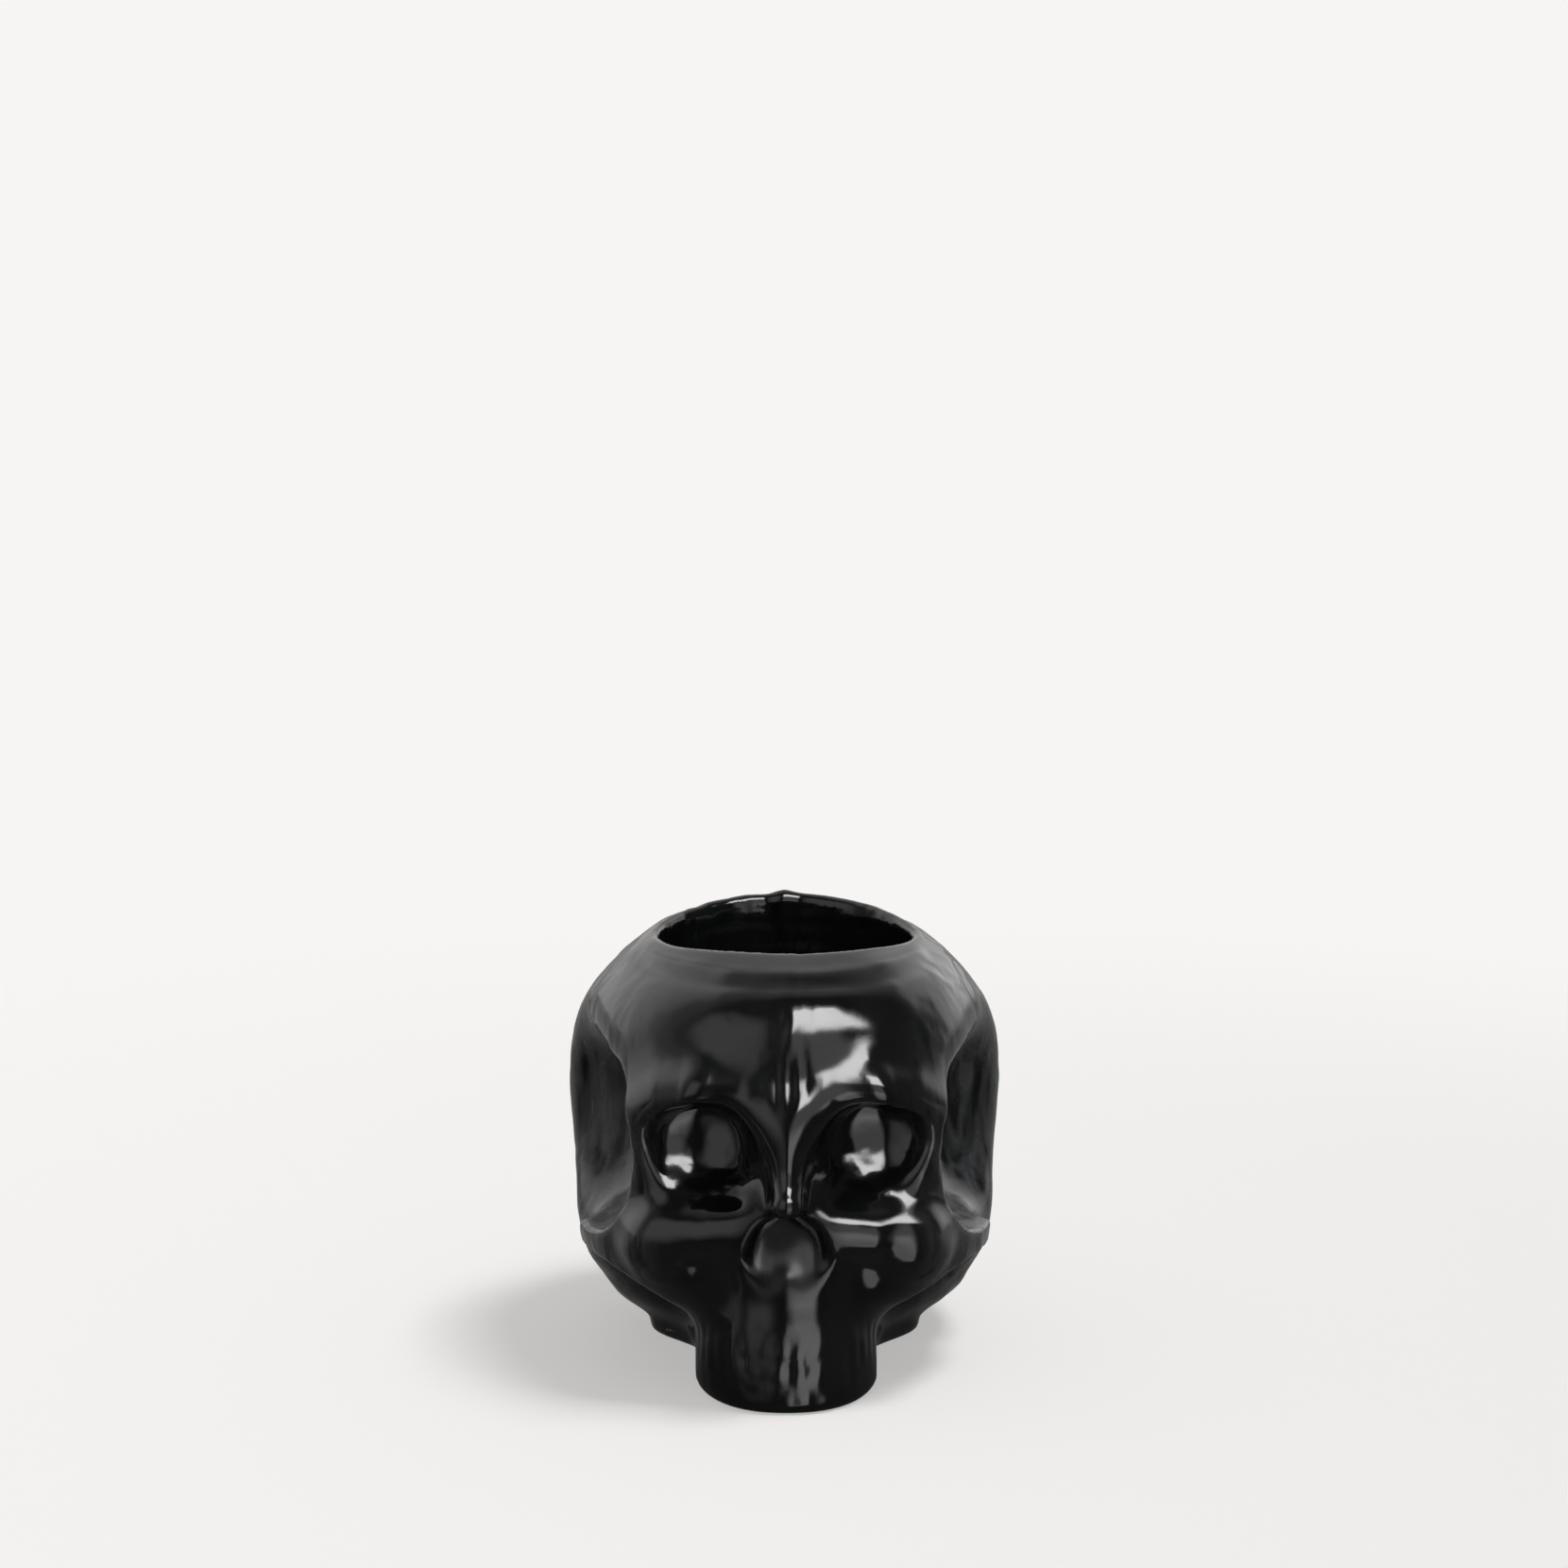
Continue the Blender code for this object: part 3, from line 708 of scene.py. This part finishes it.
def pale_paper():
    """Pale paper that keeps a soft shadow near the skull and runs to the background's colour further off."""
    material = bpy.data.materials.new("pale_paper")
    material.use_nodes = True
    nodes, links = material.node_tree.nodes, material.node_tree.links
    surface = nodes["Principled BSDF"]
    surface.inputs["Base Color"].default_value = PALE
    surface.inputs["Roughness"].default_value = 0.9
    surface.inputs["Specular IOR Level"].default_value = 0.0
    place = nodes.new("ShaderNodeTexCoord").outputs["Object"]
    depth = coordinates(nodes, links, place)["Y"]
    ray = nodes.new("ShaderNodeLightPath").outputs
    eye = combined(nodes, links, "MAXIMUM", ray["Is Camera Ray"], ray["Is Glossy Ray"])
    seen = combined(nodes, links, "MAXIMUM", eye, ray["Is Transmission Ray"])

    mirrored = ranged(nodes, links, depth, (MIRROR_FRONT, MIRROR_BACK), MIRRORED_NEAR, MIRRORED_FAR)
    strength = ranged(nodes, links, ray["Is Glossy Ray"], (0, 1), 1.0, mirrored, "LINEAR")
    paper = nodes.new("ShaderNodeEmission")
    paper.inputs["Color"].default_value = PALE
    links.new(strength, paper.inputs["Strength"])

    away = measured(nodes, links, "LENGTH", place).outputs["Value"]
    plain = ranged(nodes, links, away, (PLAIN_START, PLAIN_END), PLAIN_SHARE)
    clear = combined(nodes, links, "MAXIMUM", plain, ray["Is Glossy Ray"])
    mixed = nodes.new("ShaderNodeMixShader")
    links.new(combined(nodes, links, "MULTIPLY", clear, seen), mixed.inputs["Fac"])
    links.new(surface.outputs["BSDF"], mixed.inputs[1])
    links.new(paper.outputs["Emission"], mixed.inputs[2])

    front = combined(nodes, links, "LESS_THAN", depth, DARK_FRONT)
    unseen = nodes.new("ShaderNodeBsdfTransparent")
    whole = nodes.new("ShaderNodeMixShader")
    links.new(combined(nodes, links, "MULTIPLY", front, ray["Is Glossy Ray"]), whole.inputs["Fac"])
    links.new(mixed.outputs["Shader"], whole.inputs[1])
    links.new(unseen.outputs["BSDF"], whole.inputs[2])
    links.new(whole.outputs["Shader"], nodes["Material Output"].inputs["Surface"])
    return material


def studio_table():
    """Wide level table top in pale paper."""
    mesh = bpy.data.meshes.new("studio_table")
    corners = [(x * TABLE_SPAN, y * TABLE_SPAN, 0) for x, y in ((-1, -1), (1, -1), (1, 1), (-1, 1))]
    mesh.from_pydata(corners, [], [(0, 1, 2, 3)])
    mesh.materials.append(pale_paper())
    table = bpy.data.objects.new("studio_table", mesh)
    bpy.context.scene.collection.objects.link(table)
    return table


def studio_world():
    """The room: grey behind and at the sides, dark on the camera's side, and pale to the eye."""
    world = bpy.data.worlds.new("studio_room")
    bpy.context.scene.world = world
    world.use_nodes = True
    nodes, links = world.node_tree.nodes, world.node_tree.links
    place = nodes.new("ShaderNodeTexCoord").outputs["Generated"]
    behind = measured(nodes, links, "DOT_PRODUCT", place, ROOM_TOWARDS).outputs["Value"]
    walls = nodes.new("ShaderNodeValToRGB")
    ramp = walls.color_ramp
    ramp.interpolation = "EASE"
    while len(ramp.elements) < len(ROOM_LEVELS):
        ramp.elements.new(0.5)
    for element, (position, level) in zip(ramp.elements, ROOM_LEVELS):
        element.position = position
        element.color = (level, level, level, 1)
    links.new(combined(nodes, links, "ADD", behind, 0.5), walls.inputs["Fac"])

    ray = nodes.new("ShaderNodeLightPath").outputs
    eye = combined(nodes, links, "MAXIMUM", ray["Is Camera Ray"], ray["Is Transmission Ray"])
    glow = combined(nodes, links, "MULTIPLY", ray["Is Diffuse Ray"], ROOM_GLOW)
    shown = combined(nodes, links, "MAXIMUM", eye, glow)
    mirrored = combined(nodes, links, "MULTIPLY", ray["Is Glossy Ray"], walls.outputs["Color"])
    room = nodes["Background"]
    room.inputs["Color"].default_value = PALE
    links.new(combined(nodes, links, "MAXIMUM", shown, mirrored), room.inputs["Strength"])


def soften_edges(lamp, softness):
    """Lets a panel's light fall off towards its edges, over the given share of its half width."""
    lamp.use_nodes = True
    nodes, links = lamp.node_tree.nodes, lamp.node_tree.links
    spot = nodes.new("ShaderNodeNewGeometry").outputs["Parametric"]
    centred = measured(nodes, links, "MULTIPLY_ADD", spot, (2, 2, 0))
    centred.inputs[2].default_value = (-1, -1, 0)
    outward = measured(nodes, links, "ABSOLUTE", centred.outputs["Vector"]).outputs["Vector"]
    spread = coordinates(nodes, links, outward)
    falls = [ranged(nodes, links, spread[axis], (1.0, 1.0 - softness)) for axis in ("X", "Y")]
    links.new(combined(nodes, links, "MULTIPLY", *falls), nodes["Emission"].inputs["Strength"])


def soft_panel(name, heading, azimuths, elevations, distance, radiance, softness):
    """An upright lamp panel that covers a span of azimuths and elevations, in degrees from the skull."""
    turn = math.radians(heading)
    left, right = (distance * math.tan(math.radians(a - heading)) for a in azimuths)
    low, high = (distance * math.tan(math.radians(e)) for e in elevations)
    lamp = bpy.data.lights.new(name, "AREA")
    lamp.shape = "RECTANGLE"
    lamp.size = right - left
    lamp.size_y = high - low
    lamp.energy = radiance * math.pi * lamp.size * lamp.size_y
    soften_edges(lamp, softness)
    panel = bpy.data.objects.new(name, lamp)
    bpy.context.scene.collection.objects.link(panel)
    out = Vector((math.sin(turn), -math.cos(turn), 0))
    across = Vector((math.cos(turn), math.sin(turn), 0))
    rise = Vector((0, 0, LAMP_LEVEL + (low + high) / 2))
    panel.location = out * distance + across * (left + right) / 2 + rise
    panel.rotation_euler = (-out).to_track_quat("-Z", "Y").to_euler()
    panel.visible_camera = False
    return panel


def studio_lamps():
    for values in MIRRORED_PANELS:
        panel = soft_panel(*values)
        panel.data.use_shadow = False
        panel.visible_diffuse = False
    soft_panel(*SHADE_PANEL).visible_glossy = False


def studio_camera():
    run = math.cos(CAMERA_DIP)
    look = Vector((math.sin(CAMERA_TURN) * run, math.cos(CAMERA_TURN) * run, -math.sin(CAMERA_DIP)))
    lens = bpy.data.cameras.new("studio_camera")
    lens.lens = CAMERA_LENS
    lens.sensor_width = CAMERA_SENSOR
    camera = bpy.data.objects.new("studio_camera", lens)
    bpy.context.scene.collection.objects.link(camera)
    camera.location = CAMERA_PLACE
    camera.rotation_euler = look.to_track_quat("-Z", "Y").to_euler()
    bpy.context.scene.camera = camera


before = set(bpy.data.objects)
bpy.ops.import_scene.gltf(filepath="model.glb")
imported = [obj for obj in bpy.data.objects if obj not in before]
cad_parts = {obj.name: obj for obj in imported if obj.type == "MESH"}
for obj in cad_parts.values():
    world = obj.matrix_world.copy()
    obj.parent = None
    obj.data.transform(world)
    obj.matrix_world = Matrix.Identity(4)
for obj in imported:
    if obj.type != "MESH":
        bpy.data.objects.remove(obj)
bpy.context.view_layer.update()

studio_camera()
bpy.context.scene.view_settings.view_transform = "Standard"
studio_world()
studio_lamps()
studio_table()

skull = pressed_skull()
skull.data.materials.append(black_glass())
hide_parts("skull_holder")
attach(skull, "root")
